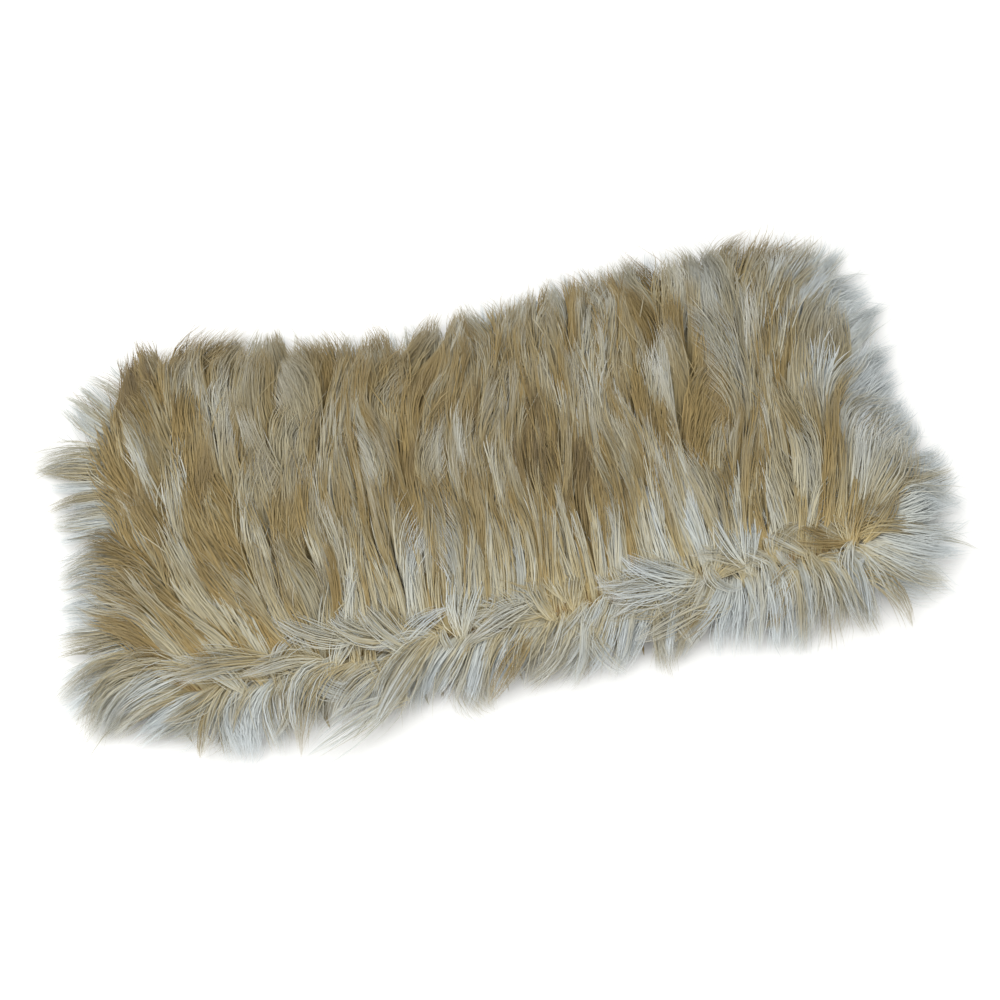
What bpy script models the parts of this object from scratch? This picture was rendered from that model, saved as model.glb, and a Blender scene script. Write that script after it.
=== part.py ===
"""Long-pile fur collar wrap, laid flat with its seam towards the front.

A top panel of fur lies on an under panel of the same fur. The two are sewn together along
the front edge, where the nap of each panel leaves the seam: up and back over the top panel,
down and out over the floor below it. The pile is so long that it sets the outer shape, so
each panel is a wall of backing cloth with its pile, and the locks that reach past the
backing stand on narrow strips round the edge.

Metres, +Z up, +X to the wearer's left along the seam, -Y to the front.
"""

import math
import random

import bmesh
import bpy
from mathutils import Vector

# Driving sizes
BACKING_LENGTH = 0.490
BACKING_WIDTH = 0.215
PILE_LENGTH = 0.062
PILE_ON_TOP = 0.036
PILE_SQUASHED = 0.014
SEAM_Y = -0.085
TOUCHING_GAP = 0.0003
STRIP_GAP = 0.0006

# The top panel's pile reaches a little past its backing
BACK_OVERHANG = 0.009
END_OVERHANG = -0.001
TOP_CORNER = 0.040
END_FALL = 0.085
TOP_BASE = PILE_SQUASHED + TOUCHING_GAP
TOP_UNDERCUT = 0.006
STATION_STEP = 0.0052
CORNER_STATIONS = 7
ROWS_ACROSS = 32

# Height of the top pile over the under panel, as a share of PILE_ON_TOP
TOP_PROFILE = (
    # share of the width from the seam, share of the pile height
    (0.00, 0.26),
    (0.04, 0.52),
    (0.10, 0.74),
    (0.22, 0.93),
    (0.40, 1.00),
    (0.60, 0.98),
    (0.78, 0.86),
    (0.90, 0.68),
    (1.00, 0.30),
)

# Dips and swells of the laid wrap
SWELLS = (
    # place along the seam, share across, reach, height
    (-0.195, 0.55, 0.070, 0.0035),
    (-0.105, 0.80, 0.060, -0.0060),
    (-0.060, 0.35, 0.055, -0.0030),
    (0.020, 0.60, 0.075, 0.0030),
    (0.120, 0.30, 0.060, -0.0030),
    (0.175, 0.70, 0.080, 0.0050),
)

# Overlapping locks raised in the top pile, and how the nap leans sideways
NAP_FAN = 0.55
NAP_DRIFT = 0.14
NAP_DRIFT_WAVE = 0.21
LOCK_SPACING = 0.019
LOCK_HALF_WIDTH = 0.017
LOCK_RUN = 0.058
LOCK_RISE = 0.0098
LOCK_TIP = 0.84
LOCK_TAPER = 0.70
LOCK_SCATTER = 0.28
SMALLEST_LOCK = 0.62
LOCK_SUNK = 0.4

# Where the pile gets lower and its locks fade, as shares of the width or of END_FALL
END_HEIGHT = 0.30
FADE_AT_SEAM = 0.10
FADE_AT_BACK = 0.08
FADE_AT_END = 0.25

# The under panel
UNDER_OVERHANG = 0.001
UNDER_CORNER = 0.040
UNDER_EDGE_ROUND = 0.0045
OUTLINE_STEP = 0.007

# The strips that hold the edge locks
STRIP_DEPTH = 0.007
STRIP_LOW = 0.0035
STRIP_HIGH = 0.0125
STRIP_PARTING = 0.0012
LOCK_ROOT = 0.0068
LOCK_GAP = 0.0022

# The rows of edge locks: low and back start from the front of a strip, high from its top
LOCK_ROWS = {
    # reach and peak_at are shares of the pile's length and of the reach; peak and tip are heights
    "low": {"reach": 0.86, "peak": 0.0090, "tip": 0.0016, "peak_at": 0.25},
    "high": {"reach": 0.74, "peak": 0.0265, "tip": 0.0105, "peak_at": 0.42},
    "back": {"reach": 0.98, "peak": 0.0110, "tip": 0.0030, "peak_at": 0.25},
}
LOCK_STEPS = (
    # share of the reach, share of the root's width
    (0.30, 1.22),
    (0.66, 0.95),
    (1.00, 0.00),
)
LOCK_FLATNESS = 0.8
LEAN = 0.13
LEAN_WAVE = 0.115
LEAN_CURVE = 1.3
REACH_SPREAD = 0.14

# How the wrap lies: the back edge waves and the front pile is flattened unevenly
BACK_WAVE = (
    # place along the seam, shift of the back edge
    (-0.300, 0.004),
    (-0.190, 0.012),
    (-0.060, -0.014),
    (0.150, 0.002),
    (0.300, -0.006),
)
FRONT_SQUEEZE = (
    # place along the seam, share of the pile's reach in front of it
    (-0.250, 0.66),
    (-0.050, 0.74),
    (0.100, 0.80),
    (0.200, 0.96),
    (0.300, 1.00),
)

FUR_COLOUR = (0.47, 0.40, 0.29, 1.0)
TIP_COLOUR = (0.60, 0.56, 0.47, 1.0)
FUR_ROUGHNESS = 0.75


def clear_scene():
    for obj in list(bpy.data.objects):
        bpy.data.objects.remove(obj)


def material(name, colour):
    made = bpy.data.materials.new(name)
    made.use_nodes = True
    shader = made.node_tree.nodes["Principled BSDF"]
    shader.inputs["Base Color"].default_value = colour
    shader.inputs["Roughness"].default_value = FUR_ROUGHNESS
    shader.inputs["Metallic"].default_value = 0.0
    return made


def read_table(table, at, eased=True):
    """The second column of a table at a value of the first, flat at each row if eased."""
    if at <= table[0][0]:
        return table[0][1]
    for (low, low_value), (high, high_value) in zip(table, table[1:]):
        if at <= high:
            share = (at - low) / (high - low)
            if eased:
                share = share * share * (3 - 2 * share)
            return low_value + (high_value - low_value) * share
    return table[-1][1]


def lay_down(co):
    """Moves one point of the straight wrap to where it lies."""
    if co.y < SEAM_Y:
        co.y = SEAM_Y + (co.y - SEAM_Y) * read_table(FRONT_SQUEEZE, co.x)
    else:
        share = min(1.0, (co.y - SEAM_Y) / BACKING_WIDTH)
        co.y += share * read_table(BACK_WAVE, co.x)


def add_object(name, bm, colour, parent):
    """Makes one named sub-part from a finished bmesh."""
    for vert in bm.verts:
        lay_down(vert.co)
    bmesh.ops.recalc_face_normals(bm, faces=bm.faces)
    mesh = bpy.data.meshes.new(name)
    bm.to_mesh(mesh)
    bm.free()
    mesh.materials.append(colour)
    mesh.shade_smooth()
    mesh.set_sharp_from_angle(angle=math.radians(50))
    obj = bpy.data.objects.new(name, mesh)
    obj.parent = parent
    bpy.context.collection.objects.link(obj)
    return obj


# The top panel


def side_lines(x, half_length, front, back, corner):
    """The front and back edge of a rounded rectangle at one place along it."""
    past = max(0.0, abs(x) - (half_length - corner))
    inset = corner - math.sqrt(max(0.0, corner**2 - past**2))
    return front + inset, back - inset


def stations_along(half_length, corner):
    """Places along the panel, closer together round its corners."""
    straight = half_length - corner
    count = round(2 * straight / STATION_STEP)
    middle = [-straight + 2 * straight * i / count for i in range(count + 1)]
    turns = [math.radians(90 * (i + 1) / CORNER_STATIONS) for i in range(CORNER_STATIONS)]
    corner_places = [straight + corner * math.sin(turn) for turn in turns]
    return [-x for x in reversed(corner_places)] + middle + corner_places


def nap_lean(x):
    """Sideways run of the nap per unit along it: it fans out towards both ends."""
    fan = NAP_FAN * (x / (BACKING_LENGTH / 2)) ** 3
    drift = NAP_DRIFT * math.sin(2 * math.pi * x / NAP_DRIFT_WAVE)
    return fan + drift


def lock_height(x, along):
    """Relief of overlapping locks: each rises from its root to a pointed tip."""
    across = (x - nap_lean(x) * along) / LOCK_SPACING
    highest = 0.0
    for column in range(math.floor(across) - 1, math.floor(across) + 3):
        shift = random.Random(104729 * column).random()
        row = math.floor(along / LOCK_RUN + shift)
        share = along / LOCK_RUN + shift - row
        chance = random.Random(7919 * row + 104729 * column)
        centre = column + chance.uniform(-LOCK_SCATTER, LOCK_SCATTER)
        size = chance.uniform(SMALLEST_LOCK, 1.0)
        half = LOCK_HALF_WIDTH / LOCK_SPACING * (1 - LOCK_TAPER * share)
        ridge = max(0.0, 1 - ((across - centre) / half) ** 2)
        rise = share / LOCK_TIP if share < LOCK_TIP else (1 - share) / (1 - LOCK_TIP)
        highest = max(highest, LOCK_RISE * size * ridge * rise)
    return highest


def swell_height(x, share):
    """How far the wrap swells or dips at one place."""
    total = 0.0
    for place, across, reach, height in SWELLS:
        away = ((x - place) ** 2 + ((share - across) * BACKING_WIDTH) ** 2) / reach**2
        total += height * math.exp(-2 * away)
    return total


def pile_height(x, share, half_length, width):
    """Height of the outside of the top pile at one place."""
    end = min(1.0, (half_length - abs(x)) / END_FALL)
    rounding = math.sqrt(max(0.0, 1 - (1 - end) ** 2))
    body = PILE_ON_TOP * read_table(TOP_PROFILE, share, eased=False)
    body *= END_HEIGHT + (1 - END_HEIGHT) * rounding
    fade = min(1.0, share / FADE_AT_SEAM, (1 - share) / FADE_AT_BACK, end / FADE_AT_END)
    relief = lock_height(x, share * width) - LOCK_SUNK * LOCK_RISE
    return TOP_BASE + body + fade * (relief + swell_height(x, share))


def build_top_panel(colour, parent):
    """A grid raised to the outside of the pile, closed below by a plain flat inside."""
    half_length = BACKING_LENGTH / 2 + END_OVERHANG
    front = SEAM_Y
    back = SEAM_Y + BACKING_WIDTH + BACK_OVERHANG
    places = stations_along(half_length, TOP_CORNER)
    bm = bmesh.new()
    bmesh.ops.create_grid(bm, x_segments=len(places) - 1, y_segments=ROWS_ACROSS, size=0.5)
    for vert in bm.verts:
        x = places[round((vert.co.x + 0.5) * (len(places) - 1))]
        share = vert.co.y + 0.5
        near, far = side_lines(x, half_length, front, back, TOP_CORNER)
        y = near + share * (far - near)
        vert.co = (x, y, pile_height(x, share, half_length, back - front))
    rim = [edge for edge in bm.edges if edge.is_boundary]
    skirt = bmesh.ops.extrude_edge_only(bm, edges=rim)["geom"]
    lowered = [item for item in skirt if isinstance(item, bmesh.types.BMVert)]
    middle = Vector((0, (front + back) / 2, 0))
    for vert in lowered:
        inwards = Vector((middle.x - vert.co.x, middle.y - vert.co.y, 0))
        inwards.x *= (back - front) / (2 * half_length)
        vert.co += inwards.normalized() * TOP_UNDERCUT
        vert.co.z = TOP_BASE
    base_edges = [item for item in skirt if isinstance(item, bmesh.types.BMEdge)]
    bmesh.ops.contextual_create(bm, geom=[edge for edge in base_edges if edge.is_boundary])
    return add_object("top_panel", bm, colour, parent)


# The under panel


def rounded_outline(half_length, front, back, corner):
    """Points and outward directions round a rounded rectangle, from its front right corner."""
    points = []
    centres = (
        # centre of the corner, direction it starts from
        (Vector((half_length - corner, front + corner, 0)), -90),
        (Vector((half_length - corner, back - corner, 0)), 0),
        (Vector((corner - half_length, back - corner, 0)), 90),
        (Vector((corner - half_length, front + corner, 0)), 180),
    )
    turns = max(4, round(corner * math.pi / 2 / OUTLINE_STEP))
    for number, (centre, start) in enumerate(centres):
        for turn in range(turns + 1):
            angle = math.radians(start + 90 * turn / turns)
            outward = Vector((math.cos(angle), math.sin(angle), 0))
            points.append((centre + corner * outward, outward))
        following = centres[(number + 1) % len(centres)][0] + corner * outward
        here = points[-1][0]
        steps = max(1, round((following - here).length / OUTLINE_STEP))
        for step in range(1, steps):
            points.append((here.lerp(following, step / steps), outward))
    return points


def under_outline():
    """The under panel's outline, which the lock strips follow."""
    half_length = BACKING_LENGTH / 2 + UNDER_OVERHANG
    front = SEAM_Y - UNDER_OVERHANG
    back = SEAM_Y + BACKING_WIDTH + UNDER_OVERHANG
    return rounded_outline(half_length, front, back, UNDER_CORNER)


def build_under_panel(colour, parent):
    """The outline filled and thickened, flat underneath where the squashed pile rests."""
    bm = bmesh.new()
    corners = [bm.verts.new(point) for point, _ in under_outline()]
    bottom = bm.faces.new(corners)
    raised = bmesh.ops.extrude_face_region(bm, geom=[bottom])["geom"]
    top_verts = [item for item in raised if isinstance(item, bmesh.types.BMVert)]
    bmesh.ops.translate(bm, vec=(0, 0, PILE_SQUASHED), verts=top_verts)
    sharp = [edge for edge in bm.edges if abs(edge.verts[0].co.z - edge.verts[1].co.z) < 1e-6]
    bmesh.ops.bevel(
        bm,
        geom=sharp,
        offset=UNDER_EDGE_ROUND,
        segments=2,
        profile=0.5,
        affect="EDGES",
        material=-1,
    )
    return add_object("under_panel", bm, colour, parent)


# The locks that reach past the backing


def path_between(start, end):
    """A stretch of the under panel's outline as points, outward directions and lengths."""
    outline = under_outline()
    points = outline + outline[:1]
    lengths = [0.0]
    for (here, _), (there, _) in zip(points, points[1:]):
        lengths.append(lengths[-1] + (there - here).length)
    total = lengths[-1]

    def at(distance):
        distance %= total
        for number, (low, high) in enumerate(zip(lengths, lengths[1:])):
            if distance <= high:
                share = (distance - low) / max(high - low, 1e-9)
                here, there = points[number], points[number + 1]
                outward = here[1].lerp(there[1], share).normalized()
                return here[0].lerp(there[0], share), outward
        return points[-1]

    return at, start * total, end * total


def lock_point(root, outward, tangent, row, reach, lean, share):
    """One point on a lock's middle line: up to its highest point, then down to its tip."""
    if share < row["peak_at"]:
        turn = share / row["peak_at"]
        height = root.z + (row["peak"] - root.z) * math.sin(turn * math.pi / 2)
    else:
        turn = (share - row["peak_at"]) / (1 - row["peak_at"])
        height = row["tip"] + (row["peak"] - row["tip"]) * math.cos(turn * math.pi / 2)
    place = root + reach * share * outward + lean * reach * share**LEAN_CURVE * tangent
    place.z = height
    return place


def upper_side(forward, outward, tangent):
    """The direction across a lock that faces up, or back to the wrap where the lock stands."""
    across = forward.cross(tangent).normalized()
    return across if across.dot(Vector((0, 0, 1)) - outward / 2) > 0 else -across


def grow_lock(bm, face, outward, tangent, row, lean, chance):
    """Extrudes one root face into a lock that tapers to a point."""
    reach = PILE_LENGTH * row["reach"] * (1 + chance.uniform(-REACH_SPREAD, REACH_SPREAD))
    root = face.calc_center_median()
    along = [lock_point(root, outward, tangent, row, reach, lean, step) for step, _ in LOCK_STEPS]
    face_up = upper_side(face.normal, outward, tangent)
    spans = [((vert.co - root).dot(tangent), (vert.co - root).dot(face_up)) for vert in face.verts]
    before = root
    for place, (_, width) in zip(along, LOCK_STEPS):
        face = bmesh.ops.extrude_discrete_faces(bm, faces=[face])["faces"][0]
        face_up = upper_side((place - before).normalized(), outward, tangent)
        for vert, (wide, thick) in zip(face.verts, spans):
            vert.co = place + width * (wide * tangent + LOCK_FLATNESS * thick * face_up)
        before = place
    bmesh.ops.pointmerge(bm, verts=list(face.verts), merge_co=along[-1])


def build_lock_strip(name, start, end, rows, seed, colour, parent):
    """A narrow strip just outside the under panel, with its row or rows of locks."""
    at, low, high = path_between(start, end)
    low += STRIP_PARTING
    high -= STRIP_PARTING
    count = round((high - low - LOCK_GAP) / (LOCK_ROOT + LOCK_GAP))
    pitch = (high - low - LOCK_GAP) / count
    cuts = [low]
    for number in range(count):
        cuts.append(low + LOCK_GAP + number * pitch)
        cuts.append(low + (number + 1) * pitch)
    cuts.append(high)
    bm = bmesh.new()
    rings = []
    for cut in cuts:
        place, outward = at(cut)
        inner = place + STRIP_GAP * outward
        outer = inner + STRIP_DEPTH * outward
        corners = (
            Vector((inner.x, inner.y, STRIP_LOW)),
            Vector((outer.x, outer.y, STRIP_LOW)),
            Vector((outer.x, outer.y, STRIP_HIGH)),
            Vector((inner.x, inner.y, STRIP_HIGH)),
        )
        rings.append([bm.verts.new(corner) for corner in corners])
    front_faces, top_faces = [], []
    for here, there in zip(rings, rings[1:]):
        for side in range(4):
            following = (side + 1) % 4
            face = bm.faces.new((here[side], here[following], there[following], there[side]))
            if side == 1:
                front_faces.append(face)
            if side == 2:
                top_faces.append(face)
    bm.faces.new(rings[0])
    bm.faces.new(list(reversed(rings[-1])))
    bmesh.ops.recalc_face_normals(bm, faces=bm.faces)
    chance = random.Random(seed)
    for number in range(count):
        middle = (cuts[2 * number + 1] + cuts[2 * number + 2]) / 2
        _, outward = at(middle)
        tangent = Vector((-outward.y, outward.x, 0))
        for row_name, faces in (("low", front_faces), ("back", front_faces), ("high", top_faces)):
            if row_name in rows:
                root_face = faces[2 * number + 1]
                lean = LEAN * math.sin(2 * math.pi * middle / LEAN_WAVE)
                grow_lock(bm, root_face, outward, tangent, LOCK_ROWS[row_name], lean, chance)
    return add_object(name, bm, colour, parent)


def lock_strips(colour, parent):
    """Four strips, as shares of the way round from the front right corner."""
    stretches = (
        # name, start, end, rows, seed
        ("right_end_locks", 0.023, 0.153, ("low", "high"), 11),
        ("back_locks", 0.153, 0.523, ("back",), 12),
        ("left_end_locks", 0.523, 0.653, ("low", "high"), 13),
        ("front_locks", 0.653, 1.023, ("low", "high"), 14),
    )
    for name, start, end, rows, seed in stretches:
        build_lock_strip(name, start, end, rows, seed, colour, parent)


# The whole wrap


def centre_over_origin(root):
    """Moves the wrap so that its box stands centred on the origin."""
    bpy.context.view_layer.update()
    corners = [obj.matrix_world @ vert.co for obj in root.children for vert in obj.data.vertices]
    xs = [corner.x for corner in corners]
    ys = [corner.y for corner in corners]
    lowest = min(corner.z for corner in corners)
    root.location = (-(min(xs) + max(xs)) / 2, -(min(ys) + max(ys)) / 2, -lowest)


def main():
    clear_scene()
    fur = material("fur", FUR_COLOUR)
    tips = material("fur_tips", TIP_COLOUR)
    wrap = bpy.data.objects.new("wrap", None)
    bpy.context.collection.objects.link(wrap)
    build_top_panel(fur, wrap)
    build_under_panel(fur, wrap)
    lock_strips(tips, wrap)
    centre_over_origin(wrap)


main()
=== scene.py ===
import math

import bmesh
import bpy
import numpy as np
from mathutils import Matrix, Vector
from mathutils.kdtree import KDTree


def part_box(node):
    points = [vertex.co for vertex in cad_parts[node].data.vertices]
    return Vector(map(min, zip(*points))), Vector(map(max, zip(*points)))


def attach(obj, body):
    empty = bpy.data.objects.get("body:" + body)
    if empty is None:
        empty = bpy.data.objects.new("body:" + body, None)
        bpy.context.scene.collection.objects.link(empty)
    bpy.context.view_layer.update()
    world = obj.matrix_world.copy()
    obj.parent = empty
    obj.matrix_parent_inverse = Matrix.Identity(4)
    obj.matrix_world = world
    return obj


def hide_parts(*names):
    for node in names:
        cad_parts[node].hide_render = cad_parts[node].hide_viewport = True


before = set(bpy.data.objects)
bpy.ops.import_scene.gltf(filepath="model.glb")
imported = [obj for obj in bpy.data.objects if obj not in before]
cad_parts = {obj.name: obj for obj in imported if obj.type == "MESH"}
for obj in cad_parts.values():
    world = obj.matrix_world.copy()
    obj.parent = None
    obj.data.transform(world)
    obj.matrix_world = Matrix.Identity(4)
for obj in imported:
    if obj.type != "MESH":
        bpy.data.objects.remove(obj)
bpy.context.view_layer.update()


# The view: the wrap lies on a pale table and is seen from above its front edge, from a
# little to the left. The camera stands close, so the near end looks larger.

VIEW_ELEVATION = math.radians(60)
VIEW_TURN = math.radians(14)
VIEW_DISTANCE = 0.900
VIEW_WIDTH = 0.660
VIEW_TARGET = Vector((-0.004, -0.032, 0.025))
FILM_WIDTH = 36.0

level = math.cos(VIEW_ELEVATION)
down = -math.sin(VIEW_ELEVATION)
looking = Vector((math.sin(VIEW_TURN) * level, math.cos(VIEW_TURN) * level, down))
view = bpy.data.objects.new("view", bpy.data.cameras.new("view"))
view.data.sensor_width = FILM_WIDTH
view.data.lens = FILM_WIDTH * VIEW_DISTANCE / VIEW_WIDTH
view.location = VIEW_TARGET - VIEW_DISTANCE * looking
view.rotation_euler = looking.to_track_quat("-Z", "Y").to_euler()
bpy.context.scene.collection.objects.link(view)
bpy.context.scene.camera = view
bpy.context.scene.view_settings.view_transform = "Standard"


# The table: a plain matt sheet, pale and wide enough to fill the view. An even white room
# lights it, with a large soft lamp overhead and weaker ones in front and at the left.

TABLE_SIZE = 6.0
TABLE_COLOUR = "F4F4F2"
ROOM_COLOUR = "F8F8F8"
ROOM_STRENGTH = 0.88
LAMPS = (
    # name, place, size, power
    ("overhead_lamp", (-0.55, 0.00, 1.45), 1.2, 11.5),
    ("front_lamp", (0.50, -1.30, 1.10), 1.0, 5.0),
    ("side_lamp", (-1.40, -0.20, 0.80), 0.9, 4.0),
)


def linear(colour):
    """Turns an sRGB hex colour to linear red, green, blue and alpha."""
    shares = [int(colour[i : i + 2], 16) / 255 for i in (0, 2, 4)]
    return [s / 12.92 if s <= 0.04045 else ((s + 0.055) / 1.055) ** 2.4 for s in shares] + [1.0]


def finish_material(name):
    """Makes a material and returns it with its surface shader."""
    made = bpy.data.materials.new(name)
    made.use_nodes = True
    return made, made.node_tree.nodes["Principled BSDF"]


bm = bmesh.new()
bmesh.ops.create_grid(bm, x_segments=1, y_segments=1, size=TABLE_SIZE / 2)
table_mesh = bpy.data.meshes.new("table")
bm.to_mesh(table_mesh)
bm.free()
table = bpy.data.objects.new("table", table_mesh)
bpy.context.scene.collection.objects.link(table)

# Matt paper: a flat pale ground that shows only the wrap's soft shadow
matt_paper, shader = finish_material("matt_paper")
shader.inputs["Base Color"].default_value = linear(TABLE_COLOUR)
shader.inputs["Roughness"].default_value = 0.9
table_mesh.materials.append(matt_paper)

for name, place, size, power in LAMPS:
    lamp = bpy.data.objects.new(name, bpy.data.lights.new(name, "AREA"))
    lamp.data.size = size
    lamp.data.energy = power
    lamp.location = place
    lamp.rotation_euler = (VIEW_TARGET - Vector(place)).to_track_quat("-Z", "Y").to_euler()
    bpy.context.scene.collection.objects.link(lamp)
world = bpy.data.worlds.new("room")
world.use_nodes = True
world.node_tree.nodes["Background"].inputs["Color"].default_value = linear(ROOM_COLOUR)
world.node_tree.nodes["Background"].inputs["Strength"].default_value = ROOM_STRENGTH
bpy.context.scene.world = world


# The backing: each panel is cut from knitted fur fabric, whose plain side is a close warp
# knit in polyester. The two plain sides lie on each other and are sewn at the front edge.

BACKING_LENGTH = 0.490
BACKING_WIDTH = 0.215
BACKING_CORNER = 0.040
BACKING_THICKNESS = 0.0012
UNDER_LEVEL = 0.0124
TOP_LEVEL = 0.0148
TOP_LOFT = 0.010
LOFT_MARGIN = 0.060
BACKING_ROWS = 24
BACKING_COLUMNS = 60
STITCH_MM = 1.4
STITCH_HEIGHT = 0.0004
STITCH_WANDER = 1.5
KNIT_COLOUR = "B59A6C"
KNIT_SHADE = "8E7750"

# The back edge isn't quite straight as the wrap lies
BACK_WAVE = (
    # place along the seam, shift of the back edge
    (-0.300, 0.004),
    (-0.190, 0.012),
    (-0.060, -0.014),
    (0.150, 0.002),
    (0.300, -0.006),
)

panel_low, panel_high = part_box("top_panel")
SEAM_Y = panel_low[1]
MIDDLE_X = (panel_low[0] + panel_high[0]) / 2


def eased_table(table, at):
    """The second column of a table at values of the first, level at each of its rows."""
    places = np.array([row[0] for row in table])
    values = np.array([row[1] for row in table])
    at = np.clip(at, places[0], places[-1])
    row = np.clip(np.searchsorted(places, at) - 1, 0, len(places) - 2)
    share = (at - places[row]) / (places[row + 1] - places[row])
    share = share * share * (3 - 2 * share)
    return values[row] + (values[row + 1] - values[row]) * share


def lay(along, across):
    """Where a place on the cut panel lies on the table, as x and y."""
    wave = eased_table(BACK_WAVE, along) * np.clip(across / BACKING_WIDTH, 0, 1.5)
    return MIDDLE_X + along, SEAM_Y + across + wave


def outside_panel(along, across):
    """Distance outside the cut panel's rounded edge, negative inside it."""
    beyond_x = np.abs(along) - (BACKING_LENGTH / 2 - BACKING_CORNER)
    beyond_y = np.abs(across - BACKING_WIDTH / 2) - (BACKING_WIDTH / 2 - BACKING_CORNER)
    apart = np.hypot(np.maximum(beyond_x, 0), np.maximum(beyond_y, 0))
    return apart + np.minimum(np.maximum(beyond_x, beyond_y), 0) - BACKING_CORNER


def add_node(material, kind, settings=(), values=(), links=()):
    """Adds one shader node: its settings, its input values and the sockets that feed it."""
    tree = material.node_tree
    node = tree.nodes.new(kind)
    for name, setting in dict(settings).items():
        setattr(node, name, setting)
    for name, value in dict(values).items():
        node.inputs[name].default_value = value
    for name, socket in dict(links).items():
        tree.links.new(socket, node.inputs[name])
    return node


# Warp-knit polyester: matt ribs one stitch apart, seen only where the hair parts
warp_knit, shader = finish_material("warp_knit_polyester")
place_on = add_node(warp_knit, "ShaderNodeTexCoord").outputs["Object"]
ribs = add_node(
    warp_knit,
    "ShaderNodeTexWave",
    settings={"bands_direction": "X"},
    values={"Scale": 1000 / STITCH_MM / (2 * math.pi), "Distortion": STITCH_WANDER},
    links={"Vector": place_on},
)
knit_colour = add_node(warp_knit, "ShaderNodeValToRGB", links={"Fac": ribs.outputs["Fac"]})
knit_colour.color_ramp.elements[0].color = linear(KNIT_SHADE)
knit_colour.color_ramp.elements[1].color = linear(KNIT_COLOUR)
warp_knit.node_tree.links.new(knit_colour.outputs["Color"], shader.inputs["Base Color"])
knit_bump = add_node(
    warp_knit,
    "ShaderNodeBump",
    values={"Strength": 0.5, "Distance": STITCH_HEIGHT},
    links={"Height": ribs.outputs["Fac"]},
)
warp_knit.node_tree.links.new(knit_bump.outputs["Normal"], shader.inputs["Normal"])
shader.inputs["Roughness"].default_value = 0.85


def loft(along, across):
    """How high the trapped air lifts the top panel above its level edge."""
    inside = np.clip(-outside_panel(along, across) / LOFT_MARGIN, 0, 1)
    return TOP_LOFT * inside * (2 - inside)


def make_backing(name, low, lifted):
    """A grid drawn in to the panel's rounded outline, then given its thickness."""
    bm = bmesh.new()
    bmesh.ops.create_grid(bm, x_segments=BACKING_COLUMNS, y_segments=BACKING_ROWS, size=0.5)
    for vert in bm.verts:
        along = vert.co.x * BACKING_LENGTH
        past = max(0.0, abs(along) - (BACKING_LENGTH / 2 - BACKING_CORNER))
        inset = BACKING_CORNER - math.sqrt(max(0.0, BACKING_CORNER**2 - past**2))
        across = inset + (vert.co.y + 0.5) * (BACKING_WIDTH - 2 * inset)
        x, y = lay(np.array(along), np.array(across))
        rise = float(loft(np.array(along), np.array(across))) if lifted else 0.0
        vert.co = (float(x), float(y), low + rise)
    walls = bmesh.ops.extrude_face_region(bm, geom=list(bm.faces))["geom"]
    raised = [item for item in walls if isinstance(item, bmesh.types.BMVert)]
    bmesh.ops.translate(bm, vec=(0, 0, BACKING_THICKNESS), verts=raised)
    bmesh.ops.recalc_face_normals(bm, faces=bm.faces)
    mesh = bpy.data.meshes.new(name)
    bm.to_mesh(mesh)
    bm.free()
    mesh.materials.append(warp_knit)
    backing = bpy.data.objects.new(name, mesh)
    bpy.context.scene.collection.objects.link(backing)
    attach(backing, "root")
    return backing


under_backing = make_backing("under_backing", UNDER_LEVEL, lifted=False)
top_backing = make_backing("top_backing", TOP_LEVEL, lifted=True)


# The pile on the top panel: long modacrylic hair, golden at its roots and silver at its
# tips. It leaves the seam, rises over the wrap and runs to the back in pointed locks.

PILE_LENGTH = 0.066
STRAND_POINTS = 7
STRAND_WIDTH = 0.00066
FLOOR_CLEAR = 0.0012
TOP_STRANDS = 57000
TOP_CUTS = (-0.300, -0.123, -0.002, 0.122, 0.300)
STRAND_TAPER = ((0, 0.15, 0.45, 0.75, 1), (0.75, 1.0, 1.0, 0.70, 0.0))
STRAND_SPREAD = (0.55, 1.25)

# Hair gathers into locks, those into bigger ones, and each step strays a little from the last
LOCK_LEVELS = (
    # across, along, pull to the bigger lock, where the pull starts, then how far each lock
    # strays: turn, bend, lift, shortness and tone
    (0.0260, 0.080, 0.00, 1.0, 6, 20, 0.14, 0.05, 0.07),
    (0.0080, 0.045, 0.58, 1.2, 7, 22, 0.22, 0.14, 0.16),
    (0.0028, 0.032, 0.80, 1.0, 4, 13, 0.10, 0.20, 0.14),
    (0.0000, 0.000, 0.80, 0.9, 3, 9, 0.05, 0.30, 0.04),
)
LOOSE_SHARES = (0.0, 1.0, 0.5, 0.1)
GATHER_SIDEWAYS = 0.85
CHANCE_LIMIT = 1.7
SHORTEST = 0.5

# A lock is painted palest along its crest and darker at its sides, a painted highlight and painted
# shade that round it, and no tone strays far from the middle one
CREST_HIGHLIGHT = 0.16
TONE_LIMIT = 0.36

# A few strands leave their lock, and each one waves a little
STRAY_SHARE = 0.012
STRAY_TURN = 14
WAVE_SIZE = 0.0009
WAVE_BEATS = (0.6, 1.3)
WAVE_SPREAD = (0.4, 1.6)

# How strands face and how their tones differ, and the woolly hair under the long one
LOCK_ROUNDNESS = 0.50
LOCK_CORE = 0.0015
FACING_SPREAD = 0.03
TONE_ACROSS = 0.02
TONE_ENDS = (0.02, 0.97)
MAP_MARGIN = 0.01
UNDERFUR_SHARE = 0.32
UNDERFUR_WIDTH = 2.1
UNDERFUR_LENGTH = 0.82
UNDERFUR_DEPTH = 0.0020
UNDERFUR_TONE = 0.08

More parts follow.
